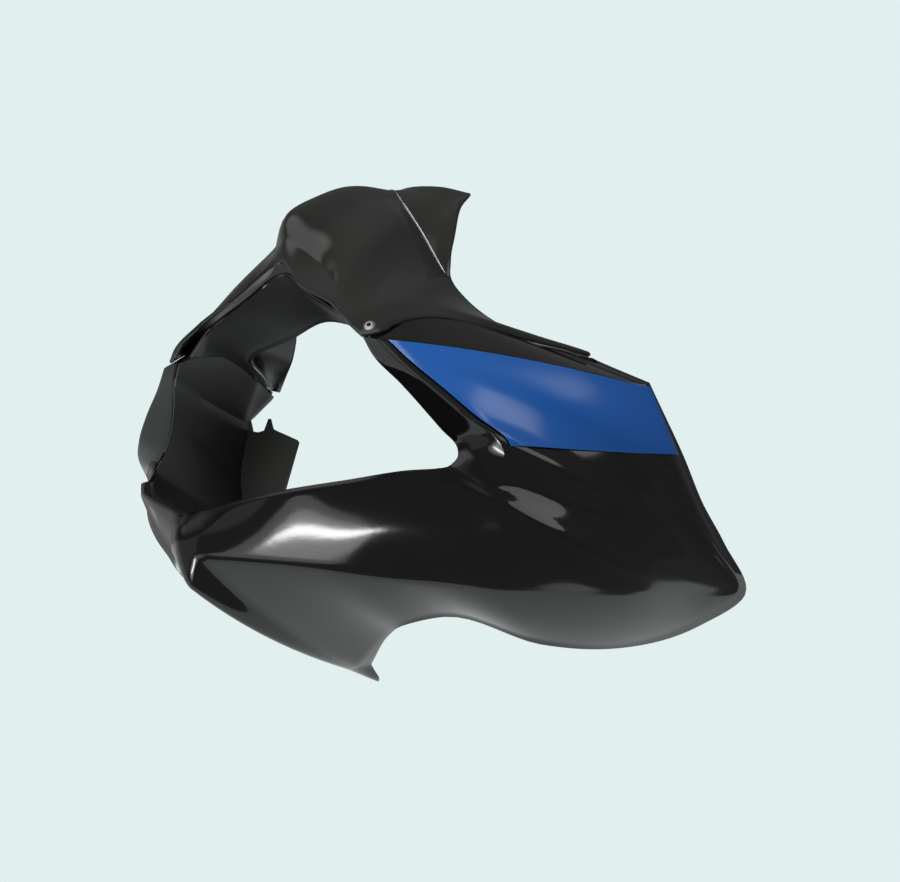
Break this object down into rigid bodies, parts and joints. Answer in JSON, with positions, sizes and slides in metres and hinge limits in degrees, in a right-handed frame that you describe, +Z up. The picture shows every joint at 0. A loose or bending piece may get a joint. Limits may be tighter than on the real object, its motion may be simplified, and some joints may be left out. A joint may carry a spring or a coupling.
{
  "type": "motorcycle headlight visor",
  "caption": "Gloss black headlight cowl with a three-sided lamp opening, a smoked windscreen screwed on top, a pointed chin and blue films on its flanks.",
  "frame": {"origin": "half way between the bolt holes of the two mounting ears, on the ears' rear faces", "axes": "+X to the rider's left, -Y forward in the direction of travel, +Z up"},
  "size_m": [0.393, 0.3146, 0.338],
  "materials": {
    "cowl_gloss": "gloss",
    "windscreen_smoke": "gloss",
    "film_blue": "gloss",
    "screw_steel": "satin"
  },
  "bodies": {
    "root": {"cowl": "cowl_gloss", "windscreen": "windscreen_smoke", "side_film_left": "film_blue", "side_film_right": "film_blue", "windscreen_screws": "screw_steel"}
  },
  "joints": []
}
